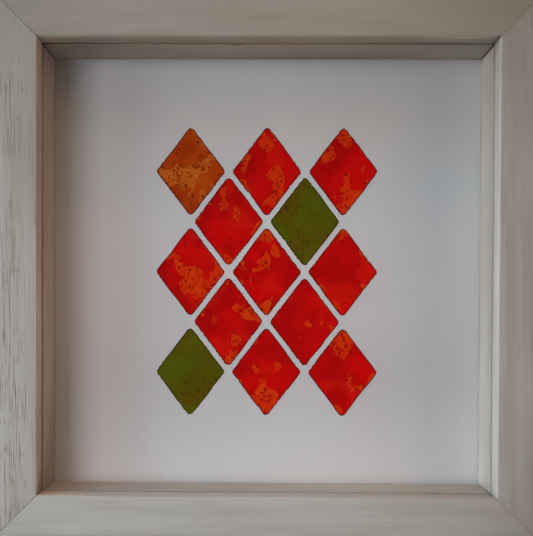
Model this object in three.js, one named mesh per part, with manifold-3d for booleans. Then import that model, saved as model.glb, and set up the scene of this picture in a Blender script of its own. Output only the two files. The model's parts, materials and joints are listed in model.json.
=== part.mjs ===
// A box picture frame: four mitred rails of limed wood around a glass pane, with a white picture
// board held well behind the glass by spacer slips, and a hardboard back. Millimetres, +Z up.
// The front faces -Y. The origin is at the middle of the bottom of the frame's bounding box.
import * as THREE from "three";
import { mergeVertices } from "three/addons/utils/BufferGeometryUtils.js";
import Module from "manifold-3d";

const wasm = await Module();
wasm.setup();

// Driving dimensions.
const WIDTH = 250; // over the rails
const HEIGHT = 249;
const RAIL_FACE = 19; // width of a rail seen from the front
const RAIL_DEPTH = 36; // front to back
const LIP_DEPTH = 7.3; // thickness of the lip in front of the glass
const REBATE = 6; // how far the lip covers the glass
const GAP = 0.3; // clearance between neighbouring pieces
const INNER_EASE = 0.4; // radius of the sight edge
const OUTER_EASE = 0.8; // radius of the outer front edge
const GLASS_THICKNESS = 2;
const BOARD_FRONT = 27.5; // depth of the picture board's face behind the front of the frame
const BOARD_THICKNESS = 2;
const BACK_THICKNESS = 3;
const INK_THICKNESS = 0.3;
const BUMPER_HEIGHT = 2.5; // the bumpers stand furthest out of the back

// The pattern on the board.
const LOZENGE = { pitchX: 38, pitchZ: 50, spacing: 2.4, tipRadius: 1.5 };

// Back fittings.
const TAB = { width: 8, inWood: 5, reach: 8, kink: 3, lift: 1.2, thickness: 0.6, spread: 60 };
const WEDGE = { inset: 6.2, leg: 5, thickness: 0.6, depth: 7 };
const HANGER = {
  end: 8, ramp: 3, middle: 22, rise: 1.4, thickness: 0.8, height: 8, toothPitch: 2.4, teeth: 8, toothSize: 1.6,
};
const NAIL = { length: 8, shank: 0.6, point: 1.5, head: 1.7, headHeight: 1, sides: 12 };
const BUMPER = { radius: 4.75, rim: 0.9, fromSide: 24, sides: 32 };

// Places worked out from them.
const FRONT = -(RAIL_DEPTH + GAP + BUMPER_HEIGHT) / 2; // y of the front face
const BACK = FRONT + RAIL_DEPTH; // y of the rails' back face
const MID_Z = HEIGHT / 2;
const REBATE_WALL = RAIL_FACE - REBATE; // from the outer face to the rebate
const OPENING_W = WIDTH - 2 * REBATE_WALL; // inside the rebate
const OPENING_H = HEIGHT - 2 * REBATE_WALL;
const GLASS_FRONT = LIP_DEPTH + GAP;
const SPACER_FRONT = GLASS_FRONT + GLASS_THICKNESS + GAP;
const SPACER_DEPTH = BOARD_FRONT - GAP - SPACER_FRONT;
const SPACER_THICKNESS = REBATE - GAP;
const BACK_FRONT = BOARD_FRONT + BOARD_THICKNESS + GAP;
const TAB_FRONT = BACK_FRONT + BACK_THICKNESS + GAP;

const FINISH = {
  limedWood: { color: 0xc9c4b9, roughness: 0.62 },
  spacerWood: { color: 0xb9ab9a, roughness: 0.68 },
  glass: { color: 0xf2f6f5, roughness: 0.05, transparent: true, opacity: 0.2 },
  whiteBoard: { color: 0xe4e3e3, roughness: 0.85 },
  redInk: { color: 0xb81004, roughness: 0.32 },
  greenInk: { color: 0x4c5204, roughness: 0.32 },
  brownInk: { color: 0xa24a12, roughness: 0.32 },
  hardboard: { color: 0x7b5a3c, roughness: 0.8 },
  steel: { color: 0x8d8f92, roughness: 0.4, metalness: 0.9 },
  rubber: { color: 0xd8d6cf, roughness: 0.55 },
};
const MATERIAL = {};
for (const [name, values] of Object.entries(FINISH)) MATERIAL[name] = new THREE.MeshStandardMaterial(values);

const frame = new THREE.Group();

function addPiece(name, geometry, material) {
  const mesh = new THREE.Mesh(geometry, material);
  mesh.name = name;
  frame.add(mesh);
  return mesh;
}

// Cutting with manifold-3d.
function solidFrom(geometry) {
  const bare = geometry.index ? geometry.toNonIndexed() : geometry.clone();
  bare.deleteAttribute("normal");
  bare.deleteAttribute("uv");
  const merged = mergeVertices(bare, 1e-4);
  return new wasm.Manifold(
    new wasm.Mesh({
      numProp: 3,
      vertProperties: merged.attributes.position.array,
      triVerts: new Uint32Array(merged.index.array),
    }),
  );
}

function cutAway(geometry, cutters) {
  let solid = solidFrom(geometry);
  for (const cutter of cutters) solid = solid.subtract(solidFrom(cutter));
  const result = solid.getMesh();
  const cut = new THREE.BufferGeometry();
  cut.setAttribute("position", new THREE.BufferAttribute(result.vertProperties, 3));
  cut.setIndex(new THREE.BufferAttribute(result.triVerts, 1));
  return cut;
}

// A box given by its lowest and highest corners.
function boxBetween(low, high) {
  const size = high.map((value, axis) => value - low[axis]);
  const box = new THREE.BoxGeometry(...size);
  return box.translate(...low.map((value, axis) => value + size[axis] / 2));
}

// A length of moulding with mitred ends. Its section has x across from the outer face and y from front to
// back. The length lies along x with its outer face on z = 0, to be turned about y into its place.
function mitredLength(section, length) {
  const curveSegments = 4;
  const moulding = new THREE.ExtrudeGeometry(section, {
    depth: length, steps: 1, bevelEnabled: false, curveSegments,
  });
  const position = moulding.attributes.position;
  const mitreGap = (GAP / 2) * Math.SQRT2;
  for (let i = 0; i < position.count; i++) {
    const across = position.getX(i);
    const trim = across + mitreGap;
    const along = position.getZ(i) > length / 2 ? length - trim : trim;
    position.setXYZ(i, length / 2 - along, position.getY(i), across);
  }
  return moulding;
}

// Rails.
function railProfile() {
  const profile = new THREE.Shape();
  profile.moveTo(0, RAIL_DEPTH);
  profile.lineTo(0, OUTER_EASE);
  profile.absarc(OUTER_EASE, OUTER_EASE, OUTER_EASE, Math.PI, 1.5 * Math.PI);
  profile.absarc(RAIL_FACE - INNER_EASE, INNER_EASE, INNER_EASE, 1.5 * Math.PI, 2 * Math.PI);
  profile.lineTo(RAIL_FACE, LIP_DEPTH);
  profile.lineTo(REBATE_WALL, LIP_DEPTH);
  profile.lineTo(REBATE_WALL, RAIL_DEPTH);
  return profile;
}

function tabSlot(x) {
  return boxBetween(
    [x - TAB.width / 2 - GAP, TAB_FRONT - GAP, REBATE_WALL - TAB.inWood - GAP],
    [x + TAB.width / 2 + GAP, TAB_FRONT + TAB.thickness + GAP, REBATE_WALL + GAP],
  );
}

function wedgeSlot(length, side) {
  const near = WEDGE.inset - WEDGE.thickness / 2 - GAP;
  const far = WEDGE.inset + WEDGE.leg + GAP;
  const ends = [side * (length / 2 - near), side * (length / 2 - far)].sort((a, b) => a - b);
  return boxBetween(
    [ends[0], RAIL_DEPTH - WEDGE.depth - GAP, near],
    [ends[1], RAIL_DEPTH + GAP, WEDGE.inset + WEDGE.thickness / 2 + GAP],
  );
}

function nailHole(x, z) {
  const hole = new THREE.CylinderGeometry(
    NAIL.shank + GAP, NAIL.shank + GAP, 2 * (NAIL.length + GAP), NAIL.sides,
  );
  return hole.translate(x, RAIL_DEPTH, z);
}

function railGeometry(length, extraCuts = []) {
  const cuts = [tabSlot(-TAB.spread), tabSlot(TAB.spread), wedgeSlot(length, -1), wedgeSlot(length, 1)];
  return cutAway(mitredLength(railProfile(), length), [...cuts, ...extraCuts]);
}

const NAIL_X = HANGER.middle / 2 + HANGER.ramp + HANGER.end / 2;
const HANGER_Z = REBATE_WALL / 2; // from the outer face of the top rail to the hanger's middle
const SIDES = [
  { name: "bottom", turn: 0, span: WIDTH, place: [0, FRONT, 0] },
  { name: "left", turn: Math.PI / 2, span: HEIGHT, place: [-WIDTH / 2, FRONT, MID_Z] },
  { name: "top", turn: Math.PI, span: WIDTH, place: [0, FRONT, HEIGHT] },
  { name: "right", turn: 1.5 * Math.PI, span: HEIGHT, place: [WIDTH / 2, FRONT, MID_Z] },
];

for (const side of SIDES) {
  const holes = side.name === "top" ? [nailHole(-NAIL_X, HANGER_Z), nailHole(NAIL_X, HANGER_Z)] : [];
  const rail = addPiece(`rail_${side.name}`, railGeometry(side.span, holes), MATERIAL.limedWood);
  rail.rotation.y = side.turn;
  rail.position.set(...side.place);
}

// Glass, picture board and hardboard back lie in the rebate with a gap all round.
function sheet(name, depth, thickness, material) {
  const box = new THREE.BoxGeometry(OPENING_W - 2 * GAP, thickness, OPENING_H - 2 * GAP);
  const piece = addPiece(name, box, material);
  piece.position.set(0, FRONT + depth + thickness / 2, MID_Z);
}

sheet("glass", GLASS_FRONT, GLASS_THICKNESS, MATERIAL.glass);
sheet("picture_board", BOARD_FRONT, BOARD_THICKNESS, MATERIAL.whiteBoard);
sheet("backing_board", BACK_FRONT, BACK_THICKNESS, MATERIAL.hardboard);

// Spacer slips, mitred like the rails, stand between the glass and the picture board.
function slipProfile() {
  const profile = new THREE.Shape();
  profile.moveTo(0, SPACER_DEPTH);
  profile.lineTo(0, 0);
  profile.lineTo(SPACER_THICKNESS, 0);
  profile.lineTo(SPACER_THICKNESS, SPACER_DEPTH);
  return profile;
}

const SLIP_INSET = REBATE_WALL + GAP; // from a rail's outer face to a slip's
for (const side of SIDES) {
  const geometry = mitredLength(slipProfile(), side.span - 2 * SLIP_INSET);
  const slip = addPiece(`spacer_${side.name}`, geometry, MATERIAL.spacerWood);
  slip.rotation.y = side.turn;
  slip.position.set(...side.place);
  slip.translateY(SPACER_FRONT);
  slip.translateZ(SLIP_INSET);
}

// Ink lozenges: a harlequin pattern in rows of three and two.
function lozengeGeometry() {
  const { pitchX, pitchZ, spacing, tipRadius } = LOZENGE;
  const apothem = (pitchX * pitchZ) / 2 / Math.hypot(pitchX, pitchZ);
  const scale = 1 - spacing / 2 / apothem;
  const tips = [[pitchX / 2, 0], [0, pitchZ / 2], [-pitchX / 2, 0], [0, -pitchZ / 2]];
  const corners = tips.map(([x, z]) => new THREE.Vector2(x * scale, z * scale));
  const outline = new THREE.Shape();
  corners.forEach((corner, i) => {
    const before = corners[(i + 3) % 4].clone().sub(corner).normalize();
    const after = corners[(i + 1) % 4].clone().sub(corner).normalize();
    const start = corner.clone().addScaledVector(before, tipRadius);
    const end = corner.clone().addScaledVector(after, tipRadius);
    if (i === 0) outline.moveTo(start.x, start.y);
    else outline.lineTo(start.x, start.y);
    outline.quadraticCurveTo(corner.x, corner.y, end.x, end.y);
  });
  outline.closePath();
  const slab = new THREE.ExtrudeGeometry(outline, {
    depth: INK_THICKNESS, bevelEnabled: false, curveSegments: 3,
  });
  return slab.rotateX(Math.PI / 2);
}

const INKS = [
  ["brownInk", "redInk", "redInk"],
  ["redInk", "greenInk"],
  ["redInk", "redInk", "redInk"],
  ["redInk", "redInk"],
  ["greenInk", "redInk", "redInk"],
];
let lozengeNumber = 0;
INKS.forEach((row, rowIndex) => {
  row.forEach((ink, column) => {
    lozengeNumber += 1;
    const lozenge = addPiece(`ink_lozenge_${lozengeNumber}`, lozengeGeometry(), MATERIAL[ink]);
    const x = (column - (row.length - 1) / 2) * LOZENGE.pitchX;
    const z = ((INKS.length - 1) / 2 - rowIndex) * (LOZENGE.pitchZ / 2);
    lozenge.position.set(x, FRONT + BOARD_FRONT - GAP, MID_Z + z);
  });
});

// Bent steel tabs: one end in a slot of the rebate wall, the other over the hardboard back.
function tabGeometry() {
  const { inWood, reach, kink, lift, thickness, width } = TAB;
  const strip = new THREE.Shape();
  strip.moveTo(-inWood, 0);
  strip.lineTo(reach, 0);
  strip.lineTo(reach + kink, lift);
  strip.lineTo(reach + kink, lift + thickness);
  strip.lineTo(reach, thickness);
  strip.lineTo(-inWood, thickness);
  const tab = new THREE.ExtrudeGeometry(strip, { depth: width, bevelEnabled: false });
  // The strip's length goes to +z, its thickness stays on y and its width is centred on x.
  return tab.translate(0, 0, -width / 2).rotateY(-Math.PI / 2);
}

for (const side of SIDES) {
  for (const [end, x] of [["a", -TAB.spread], ["b", TAB.spread]]) {
    const holder = new THREE.Group();
    holder.rotation.y = side.turn;
    holder.position.set(...side.place);
    const tab = new THREE.Mesh(tabGeometry(), MATERIAL.steel);
    tab.name = `back_tab_${side.name}_${end}`;
    tab.position.set(x, TAB_FRONT, REBATE_WALL);
    holder.add(tab);
    frame.add(holder);
  }
}

// Corner wedges: bent steel strips driven across each mitre from the back.
function wedgeGeometry() {
  const { inset, leg, thickness, depth } = WEDGE;
  const near = inset - thickness / 2;
  const inner = inset + thickness / 2;
  const far = inset + leg;
  const bend = new THREE.Shape();
  bend.moveTo(near, near);
  bend.lineTo(far, near);
  bend.lineTo(far, inner);
  bend.lineTo(inner, inner);
  bend.lineTo(inner, far);
  bend.lineTo(near, far);
  const wedge = new THREE.ExtrudeGeometry(bend, { depth: depth - GAP, bevelEnabled: false });
  return wedge.rotateX(Math.PI / 2);
}

for (const [name, turn, x, z] of [
  ["bottom_left", 0, -WIDTH / 2, 0],
  ["top_left", Math.PI / 2, -WIDTH / 2, HEIGHT],
  ["top_right", Math.PI, WIDTH / 2, HEIGHT],
  ["bottom_right", 1.5 * Math.PI, WIDTH / 2, 0],
]) {
  const wedge = addPiece(`corner_wedge_${name}`, wedgeGeometry(), MATERIAL.steel);
  wedge.rotation.y = turn;
  wedge.position.set(x, BACK - GAP, z);
}

// Toothed hanger on the back of the top rail.
function hangerGeometry() {
  const { end, ramp, middle, rise, thickness, height, toothPitch, teeth, toothSize } = HANGER;
  const half = middle / 2;
  const steps = [[-half - ramp - end, 0], [-half - ramp, 0], [-half, rise], [half, rise],
    [half + ramp, 0], [half + ramp + end, 0]];
  const strip = new THREE.Shape();
  steps.forEach(([x, y], i) => (i ? strip.lineTo(x, y) : strip.moveTo(x, y)));
  for (const [x, y] of [...steps].reverse()) strip.lineTo(x, y + thickness);
  const plate = new THREE.ExtrudeGeometry(strip, { depth: height, bevelEnabled: false });
  const cuts = [];
  for (let i = 0; i < teeth; i++) {
    const notch = new THREE.BoxGeometry(toothSize, 4 * rise + 4 * thickness, toothSize);
    cuts.push(notch.rotateY(Math.PI / 4).translate((i - (teeth - 1) / 2) * toothPitch, 0, 0));
  }
  for (const x of [-NAIL_X, NAIL_X]) {
    const hole = new THREE.CylinderGeometry(NAIL.shank + GAP, NAIL.shank + GAP, 4 * thickness, NAIL.sides);
    cuts.push(hole.translate(x, thickness / 2, height / 2));
  }
  return cutAway(plate, cuts);
}

const hanger = addPiece("hanger_plate", hangerGeometry(), MATERIAL.steel);
hanger.position.set(0, BACK + GAP, HEIGHT - HANGER_Z - HANGER.height / 2);

function nailGeometry() {
  const { length, shank, point, head, headHeight, sides } = NAIL;
  const profile = [
    [0, -length], [shank, point - length], [shank, 0], [head, 0], [head * 0.9, headHeight * 0.5],
    [head * 0.55, headHeight * 0.9], [0, headHeight],
  ];
  return new THREE.LatheGeometry(profile.map(([r, y]) => new THREE.Vector2(r, y)), sides);
}

for (const [side, x] of [["left", -NAIL_X], ["right", NAIL_X]]) {
  const nail = addPiece(`hanger_nail_${side}`, nailGeometry(), MATERIAL.steel);
  nail.position.set(x, BACK + GAP + HANGER.thickness + GAP, HEIGHT - HANGER_Z);
}

// Domed rubber bumpers that keep the hung frame off the wall.
function bumperGeometry() {
  const { radius, rim, sides } = BUMPER;
  const profile = [new THREE.Vector2(0, 0), new THREE.Vector2(radius, 0)];
  const arcSteps = 5;
  for (let i = 0; i <= arcSteps; i++) {
    const angle = (i / arcSteps) * (Math.PI / 2);
    profile.push(new THREE.Vector2(radius * Math.cos(angle), rim + (BUMPER_HEIGHT - rim) * Math.sin(angle)));
  }
  profile.at(-1).x = 0;
  return new THREE.LatheGeometry(profile, sides);
}

for (const [side, sign] of [["left", -1], ["right", 1]]) {
  const bumper = addPiece(`bumper_${side}`, bumperGeometry(), MATERIAL.rubber);
  bumper.position.set(sign * (WIDTH / 2 - BUMPER.fromSide), BACK + GAP, REBATE_WALL / 2);
}

export default frame;
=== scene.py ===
"""Looks of a box picture frame: limed wood rails, a glass pane, and an inked board set deep behind it.

The front faces -Y and +Z is up. Blender works in metres; sizes written here are millimetres times MM.
"""
import json
import math

import bmesh
import bpy
from mathutils import Matrix, Vector


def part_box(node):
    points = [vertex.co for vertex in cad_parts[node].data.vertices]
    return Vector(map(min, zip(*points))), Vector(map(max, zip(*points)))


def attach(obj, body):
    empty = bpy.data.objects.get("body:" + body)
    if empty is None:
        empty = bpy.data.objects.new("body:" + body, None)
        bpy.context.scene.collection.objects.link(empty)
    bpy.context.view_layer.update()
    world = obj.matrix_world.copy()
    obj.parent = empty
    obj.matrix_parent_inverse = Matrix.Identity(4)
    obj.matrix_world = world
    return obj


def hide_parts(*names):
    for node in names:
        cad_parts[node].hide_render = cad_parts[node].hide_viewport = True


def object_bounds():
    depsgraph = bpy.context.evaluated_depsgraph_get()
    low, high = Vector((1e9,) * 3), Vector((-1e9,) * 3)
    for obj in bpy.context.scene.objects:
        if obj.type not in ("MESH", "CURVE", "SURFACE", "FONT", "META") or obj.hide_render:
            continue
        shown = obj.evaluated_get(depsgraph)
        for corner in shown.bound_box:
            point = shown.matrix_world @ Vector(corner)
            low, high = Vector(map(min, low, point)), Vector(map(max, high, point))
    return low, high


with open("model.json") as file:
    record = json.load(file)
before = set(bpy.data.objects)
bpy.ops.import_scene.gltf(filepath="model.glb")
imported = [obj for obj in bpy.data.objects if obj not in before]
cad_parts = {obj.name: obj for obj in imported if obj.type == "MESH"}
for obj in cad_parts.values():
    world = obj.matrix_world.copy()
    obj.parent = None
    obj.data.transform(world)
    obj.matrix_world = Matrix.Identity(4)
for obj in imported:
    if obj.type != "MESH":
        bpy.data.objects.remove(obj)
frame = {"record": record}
cad_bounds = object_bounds()

MM = 0.001
INTO = Vector((0, 1, 0))
SIDES = ("bottom", "left", "top", "right")
UPRIGHT = ("left", "right")
CORNERS = ("bottom_left", "top_left", "top_right", "bottom_right")
TAB_NODES = [f"back_tab_{side}_{end}" for side in SIDES for end in ("a", "b")]

# Clearances: round the sheets and the sunk steel, and between the lip and the glass.
GAP = 0.3 * MM
GLASS_PLAY = 0.05 * MM
# Places, read from the frame. A rail's face and rebate wall are measured from its outer side, and its lip
# from the front. OPENING is half of the opening's size.
LOW, HIGH = cad_bounds
MIDDLE = Vector((0, 0, (LOW.z + HIGH.z) / 2))
FRONT, BACK = (corner.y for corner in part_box("rail_bottom"))
GLASS_LOW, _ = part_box("glass")
RAIL_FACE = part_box("rail_left")[1].x - LOW.x
LIP = GLASS_LOW.y - GLASS_PLAY - FRONT
REBATE_WALL = GLASS_LOW.x - GAP - LOW.x
OPENING = Vector((HIGH.x - RAIL_FACE, 0, HIGH.z - MIDDLE.z - RAIL_FACE))
BOARD_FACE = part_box("picture_board")[0].y

# Shapes that only the looks need. A piece is eased where its edges are rounded.
RAIL = {"mitre_gap": 0.05 * MM, "stations": 80, "wave": 0.06 * MM, "wave_length": 18 * MM, "nick": 0.1 * MM}
RAIL_EASE = {"outer": 0.8 * MM, "back": 0.5 * MM, "arris": 0.03 * MM, "arc_steps": 6, "back_steps": 3}
SIGHT_EASE = {"bottom": 0.4 * MM, "left": 0.4 * MM, "top": 1.0 * MM, "right": 0.7 * MM}  # sanded by hand
SLIP = {"mitre_gap": 0.42 * MM, "stations": 40, "wave": 0.04 * MM, "wave_length": 22 * MM, "nick": 0.0}
SLIP_EASE = {"edge": 0.35 * MM, "arc_steps": 4}
SLIP_FORWARD = 0.25 * MM
SLIP_OVERRUN = 0.25 * MM  # of the bottom slip, under the upright ones
SHEET_STEEL = 0.6 * MM

# Camera: close and a little below the middle, with the picture kept square by the lens shift.
CAMERA = {
    "distance": 309.5 * MM, "aside": -2.84 * MM, "below_middle": 24.8 * MM,
    "turn_deg": (-0.683, -0.273, 0.496), "focal_px": 674.0, "axis_px": (254.8, 329.6),
}
IMAGE_PX = (533, 536)
# The backdrop's brightness where the camera sees it, as a light, and in mirrors.
BACKDROP = (0.56, 0.53, 0.505)
BACKDROP_GLOW = 0.06
BACKDROP_MIRRORED = 0.03
SENSOR = 36.0


# --- node trees ---


def maths(operation, swapped=False):
    """A method of Value that adds this Math node. swapped puts the value itself last."""
    def method(self, *others):
        terms = (*others, self) if swapped else (self, *others)
        node = self.graph.node("ShaderNodeMath", dict(enumerate(terms)), operation=operation)
        return Value(self.graph, node.outputs[0])
    return method


class Value:
    """A number in a node tree. Python's operators on it add Math nodes."""

    def __init__(self, graph, socket):
        self.graph = graph
        self.socket = socket

    __add__ = __radd__ = maths("ADD")
    __mul__ = __rmul__ = maths("MULTIPLY")
    __sub__, __rsub__ = maths("SUBTRACT"), maths("SUBTRACT", True)
    __truediv__, __rtruediv__ = maths("DIVIDE"), maths("DIVIDE", True)
    __pow__ = maths("POWER")
    size, sign, sine = maths("ABSOLUTE"), maths("SIGN"), maths("SINE")
    root, fraction = maths("SQRT"), maths("FRACT")
    larger, smaller = maths("MAXIMUM"), maths("MINIMUM")

    def rising(self, low, high):
        """0 below low, 1 above high, and smooth between them."""
        node = self.graph.node(
            "ShaderNodeMapRange", {"Value": self, "From Min": low, "From Max": high},
            interpolation_type="SMOOTHSTEP",
        )
        return Value(self.graph, node.outputs["Result"])

    def falling(self, low, high):
        return 1 - self.rising(low, high)


class Graph:
    """A node tree, with one method that adds any node and sets it up."""

    def __init__(self, tree):
        self.tree = tree

    def node(self, kind, sockets=None, **settings):
        made = self.tree.nodes.new(kind)
        for name, value in settings.items():
            setattr(made, name, value)
        for key, value in (sockets or {}).items():
            self.feed(self.slot_of(made, key), value)
        return made

    def slot_of(self, node, key):
        if isinstance(key, int):
            return node.inputs[key]
        named = [slot for slot in node.inputs if slot.identifier == key]
        return (named or [slot for slot in node.inputs if slot.name == key and slot.enabled])[0]

    def feed(self, slot, value):
        if isinstance(value, Value):
            value = value.socket
        if isinstance(value, bpy.types.NodeSocket):
            self.tree.links.new(value, slot)
        elif slot.type == "RGBA" and len(value) == 3:
            slot.default_value = (*value, 1.0)
        else:
            slot.default_value = value

    def vector(self, operation, *terms):
        """A vector worked out from vectors, or from a vector and the number that scales it."""
        sockets = {0: terms[0], "Scale": terms[1]} if operation == "SCALE" else dict(enumerate(terms))
        return self.node("ShaderNodeVectorMath", sockets, operation=operation).outputs[0]

    def plus(self, *vectors):
        total = vectors[0]
        for vector in vectors[1:]:
            total = self.vector("ADD", total, vector)
        return total

    def times(self, vector, number):
        return self.vector("SCALE", vector, number)

    def dot(self, first, second):
        node = self.node("ShaderNodeVectorMath", {0: first, 1: second}, operation="DOT_PRODUCT")
        return Value(self, node.outputs["Value"])

    def apart(self, vector):
        """A vector's three numbers."""
        return [Value(self, socket) for socket in self.node("ShaderNodeSeparateXYZ", {0: vector}).outputs]

    def together(self, x, y, z):
        return self.node("ShaderNodeCombineXYZ", {0: x, 1: y, 2: z}).outputs[0]

    def stretched(self, vector, lengths):
        """The vector in units of these lengths."""
        return self.vector("MULTIPLY", vector, tuple(1 / length for length in lengths))

    def noise(self, vector, detail=2.0, roughness=0.5, size=1.0):
        """Soft noise about 0.5. The size of its features is one length or three, in the vector's units."""
        if isinstance(size, tuple):
            vector, size = self.stretched(vector, size), 1.0
        sockets = {"Vector": vector, "Scale": 1.0 / size, "Detail": detail, "Roughness": roughness}
        return Value(self, self.node("ShaderNodeTexNoise", sockets).outputs[0])


class Finish(Graph):
    """A material that is built up node by node."""

    def __init__(self, name):
        self.material = bpy.data.materials.new(name)
        self.material.use_nodes = True
        super().__init__(self.material.node_tree)
        self.tree.nodes.clear()

    def place(self, turn_deg=(0, 0, 0), drift=(0, 0, 0)):
        """Object coordinates in millimetres, turned, and drifted to another part of the pattern."""
        here = self.node("ShaderNodeTexCoord").outputs["Object"]
        turn = tuple(math.radians(angle) for angle in turn_deg)
        sockets = {"Vector": here, "Location": drift, "Scale": (1 / MM,) * 3, "Rotation": turn}
        return self.node("ShaderNodeMapping", sockets).outputs[0]

    def warped(self, vector, size, amount):
        """The vector, pushed about by noise of that size."""
        sockets = {"Vector": self.stretched(vector, (size,) * 3), "Scale": 1.0, "Detail": 1.0}
        push = self.node("ShaderNodeTexNoise", sockets).outputs["Color"]
        push = self.vector("SUBTRACT", push, (0.5, 0.5, 0.5))
        return self.plus(vector, self.times(push, 2.0 * amount))

    def cells(self, vector, size=None, dimensions="3D"):
        """The distance to the nearest of scattered cells, in cells, and that cell's random number."""
        if size:
            vector = self.stretched(vector, size)
        sockets = {"Vector": vector, "Scale": 1.0}
        node = self.node("ShaderNodeTexVoronoi", sockets, voronoi_dimensions=dimensions)
        split = self.node("ShaderNodeSeparateColor", {0: node.outputs["Color"]})
        return Value(self, node.outputs["Distance"]), Value(self, split.outputs[0])

    def blend(self, factor, first, second, kind="MIX"):
        """A colour between two, or one laid on the other in another kind of blend."""
        sockets = {"Factor_Float": factor, "A_Color": first, "B_Color": second}
        node = self.node("ShaderNodeMix", sockets, data_type="RGBA", blend_type=kind, clamp_factor=True)
        return next(socket for socket in node.outputs if socket.identifier == "Result_Color")

    def own(self, name):
        """A number that the piece carries on its points."""
        return Value(self, self.node("ShaderNodeAttribute", attribute_name=name).outputs["Fac"])

    def bump(self, height, distance, strength):
        sockets = {"Height": height, "Distance": distance, "Strength": strength}
        return self.node("ShaderNodeBump", sockets).outputs["Normal"]

    def surface(self, **sockets):
        """Ends the material in a Principled shader with these sockets."""
        named = {name.replace("_", " "): value for name, value in sockets.items()}
        return self.end(self.node("ShaderNodeBsdfPrincipled", named).outputs[0])

    def end(self, shader):
        self.node("ShaderNodeOutputMaterial", {"Surface": shader})
        return self.material


class Maker(Graph):
    """A Geometry Nodes tree with named inputs, which turns a piece's first mesh into its final one.

    shape is a set of numbers that such a piece is made with, and kinds are the types of its other inputs.
    """

    KINDS = {float: "NodeSocketFloat", int: "NodeSocketInt", Vector: "NodeSocketVector"}

    def __init__(self, name, shape, **kinds):
        super().__init__(bpy.data.node_groups.new(name, "GeometryNodeTree"))
        kinds.update({input_name: type(value) for input_name, value in shape.items()})
        sockets = {input_name: self.KINDS[kind] for input_name, kind in kinds.items()}
        sockets = {"Geometry": "NodeSocketGeometry", **sockets, "material": "NodeSocketMaterial"}
        for input_name, kind in sockets.items():
            self.tree.interface.new_socket(input_name, in_out="INPUT", socket_type=kind)
        self.tree.interface.new_socket("Geometry", in_out="OUTPUT", socket_type="NodeSocketGeometry")
        self.entry = self.tree.nodes.new("NodeGroupInput")
        self.start = self.entry.outputs["Geometry"]

    def given(self, name):
        socket = self.entry.outputs[name]
        return Value(self, socket) if socket.type in ("VALUE", "INT") else socket

    def step(self, kind, sockets=None, **settings):
        """Adds a geometry node and gives its first output."""
        return self.node("GeometryNode" + kind, sockets, **settings).outputs[0]

    def place(self):
        return self.step("InputPosition")

    def moved(self, geometry, **how):
        """The geometry, with its points at a new Position or moved by an Offset."""
        return self.step("SetPosition", {"Geometry": geometry, **how})

    def joined(self, *parts, merge):
        """Parts joined into one, with points nearer than merge made one."""
        join = self.node("GeometryNodeJoinGeometry")
        for part in parts:
            self.tree.links.new(part, join.inputs[0])
        return self.step("MergeByDistance", {"Geometry": join.outputs[0], "Distance": merge})

    def keep(self, geometry, name, value, kind="FLOAT"):
        """Stores a value on the points under a name."""
        sockets = {"Geometry": geometry, "Name": name, "Value": value}
        return self.step("StoreNamedAttribute", sockets, data_type=kind, domain="POINT")

    def kept(self, name, kind="FLOAT"):
        found = self.step("InputNamedAttribute", {"Name": name}, data_type=kind)
        return Value(self, found) if kind == "FLOAT" else found

    def section(self):
        """The piece's first mesh as a curve that keeps its points' places under the name section."""
        curve = self.step("MeshToCurve", {"Mesh": self.start})
        return self.keep(curve, "section", self.place(), "FLOAT_VECTOR")

    def end(self, geometry):
        whole = self.step("RealizeInstances", {0: geometry})
        dressed = self.step("SetMaterial", {"Geometry": whole, "Material": self.given("material")})
        self.node("NodeGroupOutput", {0: dressed})
        return self

    def make(self, name, mesh, **values):
        """A piece with this tree's result as its plain mesh, its faces outwards."""
        piece = link(name, mesh)
        modifier = piece.modifiers.new(self.tree.name, "NODES")
        modifier.node_group = self.tree
        for item in self.tree.interface.items_tree:
            if item.in_out == "INPUT" and item.name in values:
                modifier[item.identifier] = values.pop(item.name)
        if values:
            raise ValueError(f"{self.tree.name} has no input {sorted(values)}")
        outward(settled(piece).data)
        return piece


# --- mesh helpers ---


def link(name, data):
    piece = bpy.data.objects.new(name, data)
    bpy.context.scene.collection.objects.link(piece)
    return piece


def mesh_of(name, points, edges=(), faces=()):
    mesh = bpy.data.meshes.new(name)
    mesh.from_pydata([tuple(p) for p in points], list(edges), list(faces))
    return mesh


def ring_mesh(name, points):
    """A closed line through the points."""
    count = len(points)
    return mesh_of(name, points, [(i, (i + 1) % count) for i in range(count)])


def outward(mesh):
    """Merges doubles and turns every face outwards."""
    work = bmesh.new()
    work.from_mesh(mesh)
    bmesh.ops.remove_doubles(work, verts=work.verts, dist=1e-7)
    bmesh.ops.recalc_face_normals(work, faces=work.faces)
    work.to_mesh(mesh)
    work.free()
    return mesh


def middle_at(depth, low, high):
    """The middle of a box, at that depth."""
    return Vector(((low.x + high.x) / 2, depth, (low.z + high.z) / 2))


def block(name, low, high):
    """A box between two corners."""
    points = [(x, y, z) for x in (low[0], high[0]) for y in (low[1], high[1]) for z in (low[2], high[2])]
    faces = [(0, 1, 3, 2), (4, 6, 7, 5), (0, 4, 5, 1), (2, 3, 7, 6), (0, 2, 6, 4), (1, 5, 7, 3)]
    return outward(mesh_of(name, points, faces=faces))


def arc(middle, radius, start_deg, steps):
    """Points of a quarter of a circle, each (x, y, 0)."""
    angles = [math.radians(start_deg + 90 * i / steps) for i in range(steps + 1)]
    return [(middle[0] + radius * math.cos(a), middle[1] + radius * math.sin(a), 0) for a in angles]


def settled(piece):
    """Makes a piece's modifiers part of its mesh."""
    graph = bpy.context.evaluated_depsgraph_get()
    mesh = bpy.data.meshes.new_from_object(piece.evaluated_get(graph))
    piece.modifiers.clear()
    piece.data = mesh
    return piece


EDGE_DEG = 35  # the least angle at which two faces meet in an edge


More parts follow.
